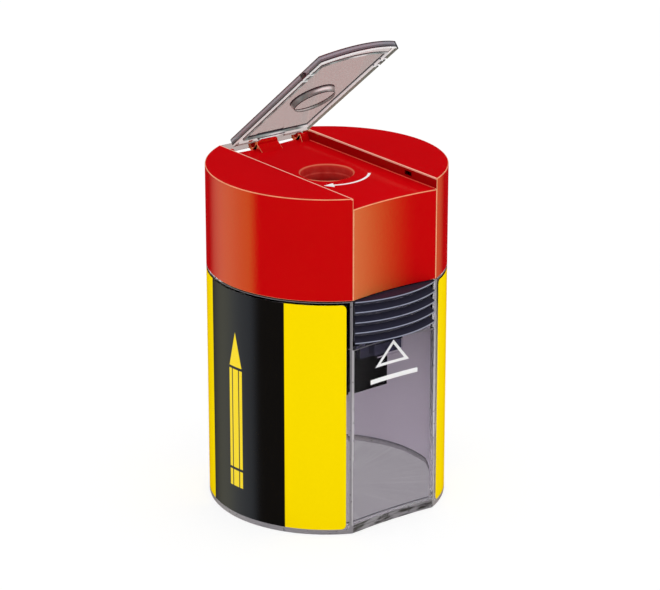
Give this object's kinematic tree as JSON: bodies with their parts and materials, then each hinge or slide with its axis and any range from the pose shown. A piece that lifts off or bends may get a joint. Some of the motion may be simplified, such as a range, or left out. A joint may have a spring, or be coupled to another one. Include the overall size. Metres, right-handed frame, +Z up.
{
  "type": "pencil sharpener",
  "caption": "Round tub pencil sharpener: clear shavings tub, pull-off cap with a hinged dust flap over the pencil hole, ribbed press tabs and a screwed blade inside.",
  "frame": {"origin": "centre of the tub's underside, which stands on the table", "axes": "+Z up along the pencil's axis, -Y the front with the press panel that the picture shows, +Y the side of the flap's hinge"},
  "size_m": [0.041, 0.041, 0.0821],
  "materials": {
    "smoky_clear": "smoky clear polystyrene, polished",
    "label_film": "printed film in yellow and black stripes",
    "red_plastic": "satin moulded red plastic",
    "black_plastic": "matte black plastic",
    "ribbed_plastic": "satin blue-black plastic",
    "blade_steel": "ground steel",
    "screw_steel": "plated steel"
  },
  "bodies": {
    "tub": {"tub": "smoky_clear", "label_right": "label_film", "label_left": "label_film"},
    "lid": {"cap": "red_plastic", "carrier": "black_plastic", "sharpener_block": "black_plastic", "blade": "blade_steel", "blade_screw": "screw_steel"},
    "flap": {"flap": "smoky_clear"},
    "press_tab_front": {"press_tab_front": "ribbed_plastic"},
    "press_tab_rear": {"press_tab_rear": "ribbed_plastic"}
  },
  "joints": [
    {"name": "lid_pull", "type": "slide", "parent": "tub", "child": "lid", "axis": [0, 0, 1], "range_m": [0, 0.03]},
    {"name": "flap_hinge", "type": "hinge", "parent": "lid", "child": "flap", "pos_m": [0, 0.0182, 0.0588], "axis": [-1, 0, 0], "range_deg": [-39, 76]},
    {"name": "front_press", "type": "hinge", "parent": "lid", "child": "press_tab_front", "pos_m": [0, -0.0142, 0.0462], "axis": [1, 0, 0], "range_deg": [0, 4.5], "stiffness_Nm_per_rad": 0.8},
    {"name": "rear_press", "type": "hinge", "parent": "lid", "child": "press_tab_rear", "pos_m": [0, 0.0142, 0.0462], "axis": [-1, 0, 0], "range_deg": [0, 4.5], "stiffness_Nm_per_rad": 0.8}
  ]
}
